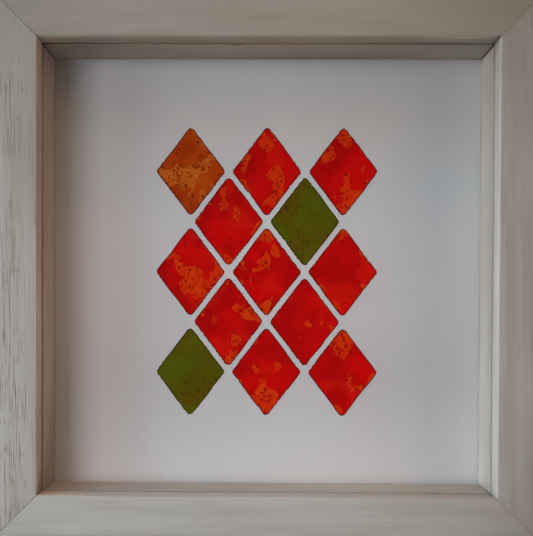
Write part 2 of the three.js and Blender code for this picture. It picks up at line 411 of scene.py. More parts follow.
def smoothed(piece, edge_deg=EDGE_DEG):
    """Shades a piece smooth except at its edges."""
    piece.data.shade_smooth()
    piece.data.set_sharp_from_angle(angle=math.radians(edge_deg))
    return piece


def bevelled(piece, width, segments=2):
    bevel = piece.modifiers.new("eased", "BEVEL")
    bevel.width = width
    bevel.segments = segments
    bevel.limit_method = "ANGLE"
    bevel.angle_limit = math.radians(EDGE_DEG)
    return settled(piece)


def carved(piece, cutters):
    """Cuts the cutters' meshes out of a piece."""
    work = bmesh.new()
    for cutter in cutters:
        work.from_mesh(cutter)
    joined = bpy.data.meshes.new("cutters")
    work.to_mesh(joined)
    work.free()
    tool = link("cutter", joined)
    cut = piece.modifiers.new("carved", "BOOLEAN")
    cut.operation = "DIFFERENCE"
    cut.object = tool
    cut.use_self = True
    settled(piece)
    bpy.data.objects.remove(tool)
    return piece


def turned(name, profile, place, sides=32):
    """A lathe-turned solid: its profile is (radius, height) points, and its axis runs into the wall."""
    points, rings = [], []
    for radius, height in profile:
        count = sides if radius > 0 else 1
        rings.append([len(points) + i % count for i in range(sides)])
        for i in range(count):
            angle = 2 * math.pi * i / sides
            points.append(place + Vector((radius * math.cos(angle), height, radius * math.sin(angle))))
    faces = []
    for near, far in zip(rings, rings[1:]):
        for i in range(sides):
            corners = (near[i], near[(i + 1) % sides], far[(i + 1) % sides], far[i])
            faces.append(tuple(dict.fromkeys(corners)))
    return link(name, outward(mesh_of(name, points, faces=faces)))


def finished(piece, material, slot, *nodes):
    """Gives a piece its material and the nodes it stands for. slot is not used."""
    piece.data.materials.clear()
    piece.data.materials.append(material)
    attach(piece, "root")
    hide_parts(*nodes)
    return piece


# --- finishes ---


# Sizes of the patterns in limed wood, in millimetres: along the grain, through it and across it.
GRAIN = {
    "cloud": (70, 14, 9), "fibre": (26, 0.55, 0.55), "streak": (130, 1.1, 1.1), "bands": (160, 4, 4),
    "hair": (90, 0.8, 0.4),
}
GRAIN_LEAN_DEG = 0.9
PAINTED_LIGHT_MIDDLE = (-12.0, -19.0)  # where the light is painted brightest on the wood, across and up from the middle in millimetres
PAINTED_SHADE_REACH = (130, 205)  # how far from there painted shade darkens it, in millimetres
WOOD_TONES = {
    "pore": ((0.08, 0.055, 0.04), (0.13, 0.078, 0.05)), "raw": ((0.4, 0.27, 0.165), (0.52, 0.38, 0.255)),
    "joint": (0.1, 0.062, 0.04),
}


def wood_pores(finish, along, layers, crowding):
    """How deep each spot lies in a pore, from layers of slim cells that follow the grain."""
    reach, deep, wide = finish.apart(along)
    pore = 0.0
    for length, width, share in layers:
        flat = finish.together(reach / length, (wide + deep) / width, 0.0)
        distance, number = finish.cells(flat, dimensions="2D")
        depth = 0.6 + 0.4 * (number * 37.0).fraction()
        taken = (crowding * share - number).rising(0.0, 0.02)
        pore = (distance.falling(0.11, 0.155) * depth * taken).larger(pore)
    return pore


def mitre_line(finish, along, x, across, upwards):
    """The fine broken line on the face where two rails meet, plainest on the left."""
    line = (across - upwards).size().falling(0.12, 0.42) * across.larger(upwards).rising(0.1, 0.4)
    broken = finish.noise(along, 2.0, 0.6, size=3).rising(0.35, 0.6)
    return line * (0.3 + 0.7 * broken) * (0.25 + 0.55 * x.falling(-60, 60))


def unwashed(y, outwards, worn):
    """Where no wash was laid: in the rebate, behind the slips and on the back, out to a worn border."""
    lip_end, back = (FRONT + LIP) / MM, BACK / MM
    face, rebate = RAIL_FACE / MM, (RAIL_FACE - REBATE_WALL) / MM
    in_rebate = outwards.rising(0.1, 0.4) * outwards.falling(rebate + 0.2, rebate + 0.6)
    in_rebate = in_rebate * y.rising(lip_end - 0.4, lip_end - 0.2)
    on_back = (outwards + worn).falling(face - 2.0, face - 1.4) * y.rising(back - 0.25, back - 0.05)
    return in_rebate.larger(on_back)


def limed_wood(name, upright, drift, wash, edge_painted_shade, pores, grain, openness, crowd=None, thin=None, bare_and_painted_shade=1.0,
               outer_wash=(1.0, 1.0, 1.0), brown=(0.75, 0.71, 0.65), ends=()):
    """White-limed open-grain wood: a thin wash over brown wood, with long dark pores along the grain.

    edge_painted_shade is painted shade: what is left of the wash's tone on the inner edges, round the
    picture, where less light falls, and outer_wash is what is left of it on the outer sides. brown is what is
    left of it where the wash
    is thin. pores are layers of them: the length and width of a pore's cell in millimetres, and the share of
    the cells that have one. openness is how little of the wash fills the pores. crowd is where across the
    wood they thin out, and thin is where along it the wood turns browner and has fewer pores, each as two
    distances in millimetres from the frame's origin. ends are stretches of the inner edge, as two such
    distances and what the
    wash is multiplied by there: painted light above 1 and painted shade below it. bare is how little wash the
    hidden faces have; on the slips it is set side by side, partly as painted shade on the line behind the
    lip.
    """
    finish = Finish(name)
    x, y, z = finish.apart(finish.place())
    up = z - MIDDLE.z / MM
    lengthways = z if upright else x
    across, upwards = x.size() - OPENING.x / MM, up.size() - OPENING.z / MM
    outwards = across.larger(upwards)
    along = finish.place((0, GRAIN_LEAN_DEG + (90 if upright else 0), 0), drift)
    cloud = finish.noise(along, 2.0, size=GRAIN["cloud"])
    fibre = finish.noise(along, 3.0, 0.6, size=GRAIN["fibre"])
    streak = finish.noise(along, 2.0, 0.6, size=GRAIN["streak"])
    # The wash is thin in places, the wood is browner along part of some lengths, and painted shade darkens it
    # a little towards the corners.
    # Along part of some lengths the wood is browner and has fewer pores.
    browner_share = lengthways.rising(*thin) if thin else 0.0
    cover = (cloud - 0.5) * 0.75 + (fibre - 0.5) * (0.45 * grain) + (streak - 0.5) * (0.35 * grain)
    browned = [part * share for part, share in zip(wash, brown)]
    tone = finish.blend((cover - 0.4 * browner_share).rising(-0.45, 0.25), browned, wash)
    # Painted shade: the wood darkens with distance from where the light is painted brightest.
    aside, above = x - PAINTED_LIGHT_MIDDLE[0], up - PAINTED_LIGHT_MIDDLE[1]
    corner = (aside * aside + above * above).root().rising(*PAINTED_SHADE_REACH)
    tone = finish.blend(corner * 0.28, tone, (0.0, 0.0, 0.0))
    # Painted shade on the inner edges, round the picture, painted light and shade at their ends, and another
    # tone on the outer sides.
    tone = finish.blend(outwards.falling(0.2, 0.5), tone, edge_painted_shade, "MULTIPLY")
    # Painted light and shade: stretches of the inner edge near the corners are multiplied, lighter above 1
    # and darker below it.
    for start, stop, more in ends:
        painted_end_share = lengthways.rising(start, stop) * outwards.falling(0.05, 0.3)
        tone = finish.blend(painted_end_share, tone, (more, more, more), "MULTIPLY")
    outside = outwards.rising(RAIL_FACE / MM - 0.4, RAIL_FACE / MM - 0.05)
    tone = finish.blend(outside, tone, outer_wash, "MULTIPLY")
    # The pores lie in bands that follow the grain, with hair lines among them.
    crowding = 0.45 + 0.5 * finish.noise(along, 1.0, size=GRAIN["bands"]).rising(0.4, 0.58)
    crowding = crowding * (1 - 0.45 * browner_share)
    if crowd:
        crowding = crowding * (1.3 - 1.0 * x.size().falling(*crowd))
    pore = wood_pores(finish, along, pores, crowding) * openness
    hair = finish.noise(along, 1.0, size=GRAIN["hair"]).rising(0.6, 0.7) * grain
    depths = finish.blend(cloud.rising(0.4, 0.6), *WOOD_TONES["pore"])
    tone = finish.blend((pore * 0.95).larger(hair * 0.12), tone, depths)
    tone = finish.blend(mitre_line(finish, along, x, across, upwards), tone, WOOD_TONES["joint"])
    # Raw wood shows where no wash was laid. On the slips its share is set side by side, partly as painted
    # shade on the line behind the lip.
    raw = finish.blend((streak * 0.5 + fibre * 0.5).rising(0.35, 0.65), *WOOD_TONES["raw"])
    worn = (cloud - 0.5) * 5.0 + (fibre - 0.5) * 4.0
    tone = finish.blend(unwashed(y, outwards, worn) * (1 - 0.5 * pore) * bare_and_painted_shade, tone, raw)
    return finish.surface(
        Base_Color=tone, Roughness=0.62 + 0.15 * pore + 0.06 * fibre,
        Normal=finish.bump((fibre - 0.5) * 0.25 + (streak - 0.5) * 0.3 - pore, 0.08 * MM, 0.7),
    )


# Painted light: where the board is painted whiter, in millimetres: across and up at its upper left corner,
# and up at its foot.
PAINTED_LIGHT_ON_BOARD = {"left": (-102, -93), "top": (182, 210), "foot": (22, 80)}


def mount_board():
    """Matt white board with a faint tooth, and painted light that whitens its upper left corner and its foot.
    """
    finish = Finish("white_mount_board")
    here = finish.place()
    x, _, z = finish.apart(here)
    cloud = finish.noise(here, size=40).rising(0.35, 0.65)
    tone = finish.blend(cloud, (0.765, 0.765, 0.77), (0.785, 0.783, 0.782))
    # Painted light whitens the board's upper left corner and its foot.
    corner = x.falling(*PAINTED_LIGHT_ON_BOARD["left"]) * z.rising(*PAINTED_LIGHT_ON_BOARD["top"])
    tone = finish.blend(corner.larger(z.falling(*PAINTED_LIGHT_ON_BOARD["foot"])), tone, (0.93, 0.94, 0.96))
    tooth = finish.noise(here, 4.0, 0.6, size=0.5)
    return finish.surface(Base_Color=tone, Roughness=0.85, Normal=finish.bump(tooth, 0.03 * MM, 0.5))


def clear_glass():
    """Thin clear glass: see-through, with only the mirror share that its angle gives."""
    finish = Finish("clear_picture_glass")
    clear = finish.node("ShaderNodeBsdfTransparent", {"Color": (0.985, 0.992, 0.988)}).outputs[0]
    mirror = finish.node("ShaderNodeBsdfGlossy", {"Color": (1, 1, 1), "Roughness": 0.03}).outputs[0]
    aslant = Value(finish, finish.node("ShaderNodeLayerWeight", {"Blend": 0.5}).outputs["Facing"])
    head_on = 0.04
    mirrored = head_on + (1 - head_on) * aslant ** 5
    return finish.end(finish.node("ShaderNodeMixShader", {0: mirrored, 1: clear, 2: mirror}).outputs[0])


# Pinholes in the ink, fine to coarse: the cell that holds one in millimetres, and its least and greatest
# radius as shares of the cell.
PINHOLES = ((1.25, 0.2, 0.3), (1.9, 0.15, 0.28), (3.1, 0.08, 0.24))


def ink(name, colours, drift):
    """Ink that pooled as it dried: mottled, with lighter blooms, foam pinholes and a dark rim."""
    finish = Finish(name)
    here = finish.place(drift=drift)
    # Slow change of depth, with soft glows and a fine mottle.
    cloud = finish.noise(here, 2.0, size=20)
    colour = finish.blend(cloud.rising(0.36, 0.62), colours["deep"], colours["mid"])
    mottle = finish.noise(here, 3.0, 0.6, size=4)
    colour = finish.blend(mottle.rising(0.45, 0.75) * 0.5, colour, colours["deep"])
    glow = finish.noise(here, 1.0, size=13)
    colour = finish.blend(glow.rising(0.52, 0.68) * 0.6, colour, colours["glow"])
    # Blooms: some wide and winding, some like single drops, with crisp borders.
    winding = finish.noise(finish.warped(here, 9, 6), 2.0, 0.45, size=18)
    drop, chance = finish.cells(finish.warped(here, 7, 4), (10, 10, 14))
    reach = 0.1 + 0.24 * chance
    drops = drop.falling(reach, reach + 0.04) * chance.rising(0.35, 0.4)
    blooms = winding.rising(0.56, 0.575).larger(drops)
    tone = finish.noise(here, 3.0, 0.6, size=7).rising(0.35, 0.7)
    fleck = finish.noise(here, 2.0, 0.6, size=1.3).rising(0.5, 0.6)
    lifted = finish.blend(tone, colours["bloom"], colours["pale"])
    lifted = finish.blend(fleck * glow.rising(0.42, 0.6) * 0.4, lifted, colours["mid"])
    colour = finish.blend(blooms * 0.9, colour, lifted)
    # Foam: clusters of pinholes in and round the blooms, and a few larger soft specks anywhere.
    near = winding.rising(0.52, 0.55).larger(blooms)
    cluster = finish.noise(here, 1.0, size=8)
    foam = cluster.rising(0.4, 0.48) * near
    dense = cluster.rising(0.5, 0.56) * near
    for (size, low, high), where in zip(PINHOLES, (dense, foam, near)):
        hole, bigness = finish.cells(here, (size, 4 * size, 1.15 * size))
        radius = low + (high - low) * bigness
        colour = finish.blend(where * hole.falling(radius, radius + 0.12) * 0.9, colour, colours["dark"])
    hairs = finish.noise(here, 1.0, size=(0.5, 0.5, 3.5)).rising(0.56, 0.66)
    colour = finish.blend(hairs * foam * 0.5, colour, colours["mid"])
    speck, rare = finish.cells(here, (5.5, 22, 5.5))
    colour = finish.blend(speck.falling(0.08, 0.2) * rare.rising(0.55, 0.6) * 0.75, colour, colours["dark"])
    # The rim, where the ink dried thickest.
    edge = finish.own("rim")
    colour = finish.blend(edge.falling(0.1, 2.6) * 0.5, colour, colours["deep"])
    colour = finish.blend(edge.falling(0.3, 0.8) * 0.95, colour, colours["rim"])
    return finish.surface(
        Base_Color=colour, Roughness=0.5, Specular_IOR_Level=0.04,
        Normal=finish.bump((mottle - 0.5) * 0.5 + blooms * 0.3, 0.02 * MM, 0.5),
    )


def hardboard():
    """The smooth face of brown hardboard: pressed fibres, with a few pale flecks and a low sheen."""
    finish = Finish("pressed_hardboard")
    here = finish.place()
    cloud = finish.noise(here, 3.0, size=60)
    tone = finish.blend(cloud.rising(0.35, 0.65), (0.185, 0.103, 0.052), (0.213, 0.122, 0.063))
    bent = finish.warped(here, 5, 2)
    fibres = finish.noise(bent, 2.0, size=(5, 5, 0.35))
    crossing = finish.noise(bent, 2.0, size=(0.35, 5, 5))
    fibre = fibres.larger(crossing)
    tone = finish.blend(fibre.rising(0.52, 0.75) * 0.6, tone, (0.33, 0.2, 0.11))
    pit, number = finish.cells(here, (2.6, 10, 2.6))
    tone = finish.blend(pit.falling(0.06, 0.16) * number.rising(0.5, 0.55) * 0.6, tone, (0.07, 0.035, 0.02))
    return finish.surface(
        Base_Color=tone, Roughness=0.5 + 0.2 * cloud + 0.1 * fibre,
        Normal=finish.bump(fibre - pit, 0.03 * MM, 0.4),
    )


def zinc_steel():
    """Zinc-plated sheet steel, with faint patches of zinc crystals and rubbed spots."""
    finish = Finish("zinc_steel")
    here = finish.place()
    _, number = finish.cells(here, (2.4, 2.4, 2.4))
    rub = finish.noise(here, 3.0, size=1.2)
    tone = finish.blend(number, (0.33, 0.34, 0.36), (0.46, 0.47, 0.49))
    tone = finish.blend(rub.rising(0.55, 0.7) * 0.5, tone, (0.6, 0.61, 0.62))
    return finish.surface(
        Base_Color=tone, Metallic=0.9, Roughness=0.34 + 0.14 * number + 0.1 * rub,
        Normal=finish.bump(rub, 0.02 * MM, 0.3),
    )


def brassed_steel():
    """Brass-plated steel, drawn along its length and dulled in spots."""
    finish = Finish("brassed_steel")
    here = finish.place()
    drawn = finish.noise(here, 2.0, size=(12, 0.25, 0.25))
    dull = finish.noise(here, 3.0, size=2.5).rising(0.5, 0.7)
    tone = finish.blend(drawn.rising(0.35, 0.65), (0.5, 0.41, 0.24), (0.6, 0.5, 0.31))
    tone = finish.blend(dull * 0.5, tone, (0.34, 0.28, 0.17))
    return finish.surface(
        Base_Color=tone, Metallic=0.95, Roughness=0.28 + 0.1 * drawn + 0.18 * dull,
        Normal=finish.bump(drawn, 0.01 * MM, 0.3),
    )


def soft_rubber():
    """Pale, slightly dusty rubber."""
    finish = Finish("pale_rubber")
    here = finish.place()
    dust = finish.noise(here, 3.0, size=2.0)
    tone = finish.blend(dust.rising(0.4, 0.7), (0.5, 0.49, 0.46), (0.6, 0.59, 0.56))
    return finish.surface(
        Base_Color=tone, Roughness=0.42 + 0.2 * dust, Normal=finish.bump(dust, 0.02 * MM, 0.3),
    )


FLOOR_REACH = 3.0
FLOOR_FADE = (350, 1600)  # in millimetres from the middle


def floor_paint():
    """A pale floor that runs out into the backdrop's own tone."""
    finish = Finish("pale_floor_paint")
    x, y, _ = finish.apart(finish.place())
    far = (x * x + y * y).root().rising(*FLOOR_FADE)
    return finish.surface(
        Base_Color=finish.blend(far, (0.24, 0.24, 0.24), (0.0, 0.0, 0.0)),
        Roughness=0.8, Specular_IOR_Level=0.1,
        Emission_Color=finish.blend(far, (0.27, 0.26, 0.25), BACKDROP), Emission_Strength=1.0,
    )


# --- rails and slips ---


# How far the wood's unevenness reaches from the front and from its edges, and the size of a knock.
WEAR = {"front": (0.5 * MM, 1.5 * MM), "edge": 1.2 * MM, "knock": 4 * MM}


def moulding_maker():
    """Sweeps a section along a straight line, trims its ends to mitres and adds the wood's small unevenness.

    The piece's first mesh is the section: x is across from the outer face, y is the depth from the front.
    """
    places = {"origin": Vector, "along": Vector, "across": Vector}
    maker = Maker("moulding", RAIL, **places, half_length=float, width=float)
    line = maker.step("CurvePrimitiveLine", {"Start": (0, 0, -1), "End": (0, 0, 1)})
    line = maker.step("ResampleCurve", {"Curve": line, "Count": maker.given("stations")})
    swept = {"Curve": line, "Profile Curve": maker.section(), "Fill Caps": True}
    swept = maker.step("CurveToMesh", swept)
    across, depth, _ = maker.apart(maker.kept("section", "FLOAT_VECTOR"))
    share = maker.apart(maker.place())[2]
    reach = share * (maker.given("half_length") - across - maker.given("mitre_gap"))
    # The front sinks by a soft wave, and its two edges have small nicks, in other places on each length.
    spot = maker.plus(maker.together(reach, across, depth), maker.times(maker.given("origin"), 7.0))
    swell = maker.noise(spot, size=maker.given("wave_length"))
    knock = maker.noise(spot, 1.0, size=WEAR["knock"]).rising(0.58, 0.75)
    front = depth.falling(*WEAR["front"])
    inner = (maker.given("width") - across).falling(0.0, WEAR["edge"])
    outer = across.falling(0.0, WEAR["edge"])
    sunk = depth + front * (swell * maker.given("wave") + (inner + outer) * knock * maker.given("nick"))
    moved = across + front * knock * maker.given("nick") * (outer - inner)
    moves = ((maker.given("along"), reach), (maker.given("across"), moved), (tuple(INTO), sunk))
    placed = maker.plus(maker.given("origin"), *[maker.times(way, amount) for way, amount in moves])
    return maker.end(maker.moved(swept, Position=placed))


def rail_section(inner):
    """A rail's section, from the back of its outer face round the front to the rebate.

    inner is the radius of its sight edge.
    """
    depth = BACK - FRONT
    outer, steps = RAIL_EASE["outer"], RAIL_EASE["arc_steps"]
    back, back_steps = RAIL_EASE["back"], RAIL_EASE["back_steps"]
    return [
        *arc((back, depth - back), back, 90, back_steps), (0, depth / 2, 0),
        *arc((outer, outer), outer, 180, steps),
        *[(RAIL_FACE * share, 0, 0) for share in (0.25, 0.5, 0.75)],
        *arc((RAIL_FACE - inner, inner), inner, 270, steps), (RAIL_FACE, LIP, 0), (REBATE_WALL, LIP, 0),
        *arc((REBATE_WALL - back, depth - back), back, 0, back_steps),
    ]


def slip_section(width, depth):
    """A slip's section, with its four edges rounded."""
    ease, steps = SLIP_EASE["edge"], SLIP_EASE["arc_steps"]
    right, back = width - ease, depth - ease
    edges = (((ease, ease), 180), ((right, ease), 270), ((right, back), 0), ((ease, back), 90))
    return [point for middle, start_deg in edges for point in arc(middle, ease, start_deg, steps)]


def run_of(side, low, high):
    """Where a length of moulding lies, as moulding_maker's inputs. Its origin is on its outer face."""
    middle = middle_at(low.y, low, high)
    half = (high - low) / 2
    right, up = Vector((1, 0, 0)), Vector((0, 0, 1))
    origin, along, across, half_length, width = {
        "bottom": (Vector((middle.x, low.y, low.z)), right, up, half.x, 2 * half.z),
        "top": (Vector((middle.x, low.y, high.z)), right, -up, half.x, 2 * half.z),
        "left": (Vector((low.x, low.y, middle.z)), up, right, half.z, 2 * half.x),
        "right": (Vector((high.x, low.y, middle.z)), up, -right, half.z, 2 * half.x),
    }[side]
    return dict(origin=origin, along=along, across=across, half_length=half_length, width=width)


def outline_boxes(kind):
    """The boxes of four lengths round the picture, each run out to the corners of their whole outline."""
    boxes = {side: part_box(f"{kind}_{side}") for side in SIDES}
    low = Vector((boxes["left"][0].x, 0, boxes["bottom"][0].z))
    high = Vector((boxes["right"][1].x, 0, boxes["top"][1].z))
    for side, (near, far) in boxes.items():
        if side in UPRIGHT:
            near.z, far.z = low.z, high.z
        else:
            near.x, far.x = low.x, high.x
    return boxes


def bent_strip(corner):
    """A corner wedge's places across, its places up, and its box.

    The places are those of its bend's outside, its bend's inside and the end of its arm.
    """
    low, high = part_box(f"corner_wedge_{corner}")
    xs = (high.x, high.x - SHEET_STEEL, low.x) if "right" in corner else (low.x, low.x + SHEET_STEEL, high.x)
    zs = (low.z, low.z + SHEET_STEEL, high.z) if "bottom" in corner else (high.z, high.z - SHEET_STEEL, low.z)
    return xs, zs, low, high


def slot_cutters():
    """Boxes a little larger than the ends of the tabs and the corner wedges that are sunk in the rails."""
    slots = []
    for node in TAB_NODES:
        low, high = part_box(node)
        slots.append((low, Vector((high.x, low.y + SHEET_STEEL, high.z))))
    for corner in CORNERS:
        xs, zs, low, high = bent_strip(corner)
        for far_x, far_z in ((xs[2], zs[1]), (xs[1], zs[2])):
            near, far = (xs[0], low.y, zs[0]), (far_x, high.y, far_z)
            slots.append((Vector(map(min, near, far)), Vector(map(max, near, far))))
    room = Vector((GAP, GAP, GAP))
    return [block("slot", low - room, high + room) for low, high in slots]


# The wood of each rail, and of each slip below, in limed_wood's terms. Each side's wash tone differs from the
# others' as painted light and shade, for how the light falls on that side.
RAIL_WOOD = {
    "bottom": {
        "drift": (31, 5, 11), "wash": (0.363, 0.377, 0.347), "edge_painted_shade": (0.64, 0.593, 0.545),
        "pores": ((9, 0.7, 0.06), (26, 0.8, 0.05)), "grain": 0.6, "openness": 0.45, "thin": (40, 135),
        "ends": ((-80, -103, 1.15),),
    },
    "left": {
        "drift": (3, 17, 42), "wash": (0.33, 0.336, 0.305), "edge_painted_shade": (0.655, 0.595, 0.59),
        "pores": ((90, 0.85, 0.7), (60, 0.8, 0.65), (30, 0.7, 0.5), (14, 0.7, 0.35)), "grain": 1.0,
        "openness": 1.0, "crowd": (108, 116), "thin": (90, 215), "outer_wash": (0.5, 0.48, 0.47),
        "brown": (0.72, 0.67, 0.6),
    },
    "top": {
        "drift": (57, 23, 71), "wash": (0.24, 0.223, 0.186), "edge_painted_shade": (0.99, 0.98, 0.95),
        "pores": ((14, 1.0, 0.08), (34, 1.1, 0.06)), "grain": 0.5, "openness": 0.35,
        "ends": ((-85, -104, 1.45), (55, 100, 1.7)),
    },
    "right": {
        "drift": (83, 2, 19), "wash": (0.302, 0.3, 0.271), "edge_painted_shade": (0.785, 0.755, 0.742),
        "pores": ((60, 1.1, 0.12), (24, 0.9, 0.08)), "grain": 1.1, "openness": 0.45, "thin": (70, 240),
    },
}
# What the slips share, unless they say otherwise.
ALL_SLIPS = {
    "edge_painted_shade": (0.87, 0.86, 0.84), "pores": ((30, 0.9, 0.1), (12, 0.8, 0.06)), "grain": 0.8,
    "openness": 0.8,
}
# The slips' wash tones differ side by side as painted light and shade: the right slip's is lightest, where
# the light falls most.
SLIP_WOOD = {
    "bottom": {
        "drift": (11, 0, 3), "wash": (0.513, 0.483, 0.434), "bare_and_painted_shade": 0.0, "ends": ((-70, -98, 0.87),),
    },
    "left": {"drift": (11, 29, 3), "wash": (0.483, 0.423, 0.394)},
    "top": {"drift": (11, 58, 3), "wash": (0.53, 0.486, 0.412), "ends": ((60, 95, 1.17),)},
    "right": {
        "drift": (11, 87, 3), "wash": (0.716, 0.68, 0.627), "pores": ((20, 0.9, 0.04),), "thin": (30, 130),
        "bare_and_painted_shade": 0.35, "ends": ((210, 228, 1.15), (42, 22, 1.15)),
    },
}


def make_rails(maker):
    cutters = slot_cutters()
    # The CAD rails stand apart at the mitres. These meet in a hair line.
    for side, box in outline_boxes("rail").items():
        name = f"limed_rail_{side}"
        section = ring_mesh(name, rail_section(SIGHT_EASE[side]))
        rail = maker.make(name, section, **run_of(side, *box), **RAIL)
        bevelled(rail, RAIL_EASE["arris"], segments=1)
        carved(rail, cutters)
        wood = limed_wood(f"limed_wood_{side}", side in UPRIGHT, **RAIL_WOOD[side])
        finished(smoothed(rail), wood, "limed_wood", f"rail_{side}")


def make_slips(maker):
    for side, (low, high) in outline_boxes("spacer").items():
        low.y -= SLIP_FORWARD
        name = f"spacer_slip_{side}"
        run = run_of(side, low, high)
        section = ring_mesh(name, slip_section(run["width"], high.y - low.y))
        shape = {**SLIP, "mitre_gap": -SLIP_OVERRUN} if side == "bottom" else SLIP
        slip = maker.make(name, section, **run, **shape)
        wood = limed_wood(f"spacer_wood_{side}", side in UPRIGHT, **{**ALL_SLIPS, **SLIP_WOOD[side]})
        finished(smoothed(slip), wood, "spacer_wood", f"spacer_{side}")


# --- glass and boards ---


def make_sheets():
    for node, name, slot, arris, material in (
        ("glass", "glass_pane", "clear_glass", 0.25 * MM, clear_glass()),
        ("picture_board", "white_picture_board", "white_board", 0.12 * MM, mount_board()),
        ("backing_board", "hardboard_back", "hardboard", 0.3 * MM, hardboard()),
    ):
        piece = bevelled(link(name, block(name, *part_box(node))), arris)
        finished(smoothed(piece), material, slot, node)


# --- ink lozenges ---


INK = {
    "tip": 2.0 * MM, "step": 0.25 * MM, "ripple": 0.42 * MM, "ripple_length": 2.7 * MM, "sway": 0.4 * MM,
    "sway_length": 8 * MM, "rim": 0.9 * MM,
}
INK_GROWTH = (1.0 * MM, 1.2 * MM)  # added to the width and height, for what the ripples and tips take off
# The rim's section: how far in it is, as a share of the rim's width, and how thick the ink is there in
# millimetres.
INK_RIM = [(0, 0.01), (0.02, 0.08), (0.1, 0.13), (0.22, 0.15), (0.4, 0.13), (0.65, 0.08), (1, 0.05)]
INK_COLOURS = {
    "red_ink": {
        "deep": (0.58, 0.0, 0.0), "mid": (0.93, 0.0, 0.0), "glow": (0.95, 0.014, 0.0),
        "bloom": (0.97, 0.055, 0.0), "pale": (1.0, 0.11, 0.0), "dark": (0.3, 0.0, 0.0),
        "rim": (0.07, 0.0, 0.0),
    },
    "green_ink": {
        "deep": (0.11, 0.1, 0.0), "mid": (0.135, 0.135, 0.0), "glow": (0.1, 0.19, 0.0),
        "bloom": (0.16, 0.07, 0.0), "pale": (0.15, 0.1, 0.0), "dark": (0.05, 0.03, 0.0),
        "rim": (0.02, 0.015, 0.0),
    },
    "brown_ink": {
        "deep": (0.42, 0.035, 0.0), "mid": (0.68, 0.08, 0.0), "glow": (0.75, 0.14, 0.005),
        "bloom": (0.85, 0.2, 0.01), "pale": (0.95, 0.3, 0.03), "dark": (0.16, 0.01, 0.0),
        "rim": (0.03, 0.004, 0.0),
    },
}


def lozenge_maker():
    """A film of ink in a lozenge on the board, with a rippled edge and a rim that dried thicker.

    The piece's first mesh is the rim's section: x is the share of its width, y is the thickness.
    """
    maker = Maker(
        "ink_lozenge", INK, centre=Vector, width=float, height=float, film=float, base=float, seed=float,
    )
    half = maker.given("height") * 0.5
    outline = {"Width": maker.given("width"), "Bottom Height": half, "Top Height": half}
    outline = maker.step("CurvePrimitiveQuadrilateral", outline, mode="KITE")
    outline = {"Curve": outline, "Radius": maker.given("tip"), "Count": 8}
    outline = {"Curve": maker.step("FilletCurve", outline, mode="POLY"), "Length": maker.given("step")}
    outline = maker.step("ResampleCurve", outline, mode="LENGTH")
    # Sideways of the outline is turned so that it always points away from the middle.
    sideways = maker.vector("CROSS_PRODUCT", maker.step("InputTangent"), (0, 0, 1))
    outer_side = maker.dot(sideways, maker.place()).sign()
    outline = maker.keep(outline, "away", maker.times(sideways, outer_side), "FLOAT_VECTOR")
    # The edge is scalloped in uneven lengths and sways slowly.
    spot = maker.plus(maker.place(), maker.together(0.0, 0.0, maker.given("seed")))
    slow = maker.noise(spot, size=maker.given("sway_length"))
    length = Value(maker, maker.node("GeometryNodeSplineParameter").outputs["Length"])
    scallop = ((length / maker.given("ripple_length") + slow * 6.0) * math.pi).sine().size()
    lively = maker.noise(spot, size=maker.given("sway_length") * 1.6).rising(0.42, 0.58)
    edge = maker.given("sway") * (slow - 0.5) * 2.0 - maker.given("ripple") * (1 - scallop) * lively
    away = maker.kept("away", "FLOAT_VECTOR")
    outline = maker.moved(outline, Offset=maker.times(away, edge))
    outline = maker.keep(outline, "spot", maker.place(), "FLOAT_VECTOR")
    # The rim is swept along the edge, and the film and its underside fill it.
    rim = maker.step("CurveToMesh", {"Curve": outline, "Profile Curve": maker.section()})
    share, thickness, _ = maker.apart(maker.kept("section", "FLOAT_VECTOR"))
    inwards = maker.times(away, maker.given("rim") * share * -1.0)
    inwards = maker.plus(inwards, maker.together(0.0, 0.0, thickness))
    rim = maker.moved(rim, Position=maker.plus(maker.kept("spot", "FLOAT_VECTOR"), inwards))
    sheets = [maker.keep(rim, "rim", share)]
    for share_in, height in ((1.0, maker.given("film")), (0.0, maker.given("base"))):
        raised = maker.together(0.0, 0.0, height)
        inwards = maker.times(away, maker.given("rim") * -share_in)
        line = maker.moved(outline, Offset=maker.plus(inwards, raised))
        filled = maker.step("FillCurve", {"Curve": line}, mode="TRIANGLES")
        flat = maker.vector("MULTIPLY", maker.place(), (1, 1, 0))
        filled = maker.moved(filled, Position=maker.plus(flat, raised))
        sheets.append(maker.keep(filled, "rim", share_in))
    whole = maker.joined(*reversed(sheets), merge=0.004 * MM)
    x, y, height = maker.apart(maker.place())
    placed = maker.plus(maker.given("centre"), maker.together(x, height * -1.0, y))
    return maker.end(maker.moved(whole, Position=placed))


def make_lozenges():
    maker = lozenge_maker()
    looks = {}
    for number, (slot, colours) in enumerate(INK_COLOURS.items()):
        looks[slot] = ink(slot, colours, (0, 40 * number, 0))
    section = [(share, height * MM, 0) for share, height in INK_RIM]
    steps = [(i, i + 1) for i in range(len(section) - 1)]
    lozenges = [part for part in frame["record"]["subparts"] if part["node"].startswith("ink_lozenge_")]
    for number, part in enumerate(lozenges):
        node, slot = part["node"], part["material_slot"]
        low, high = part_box(node)
        piece = maker.make(
            node.replace("lozenge", "film"), mesh_of("rim_section", section, steps),
            centre=middle_at(BOARD_FACE, low, high), width=high.x - low.x + INK_GROWTH[0],
            height=high.z - low.z + INK_GROWTH[1], seed=number * 31 * MM, film=section[-1][1],
            base=section[0][1], **INK,
        )
        finished(smoothed(piece, 60), looks[slot], slot, node)


# --- back fittings ---


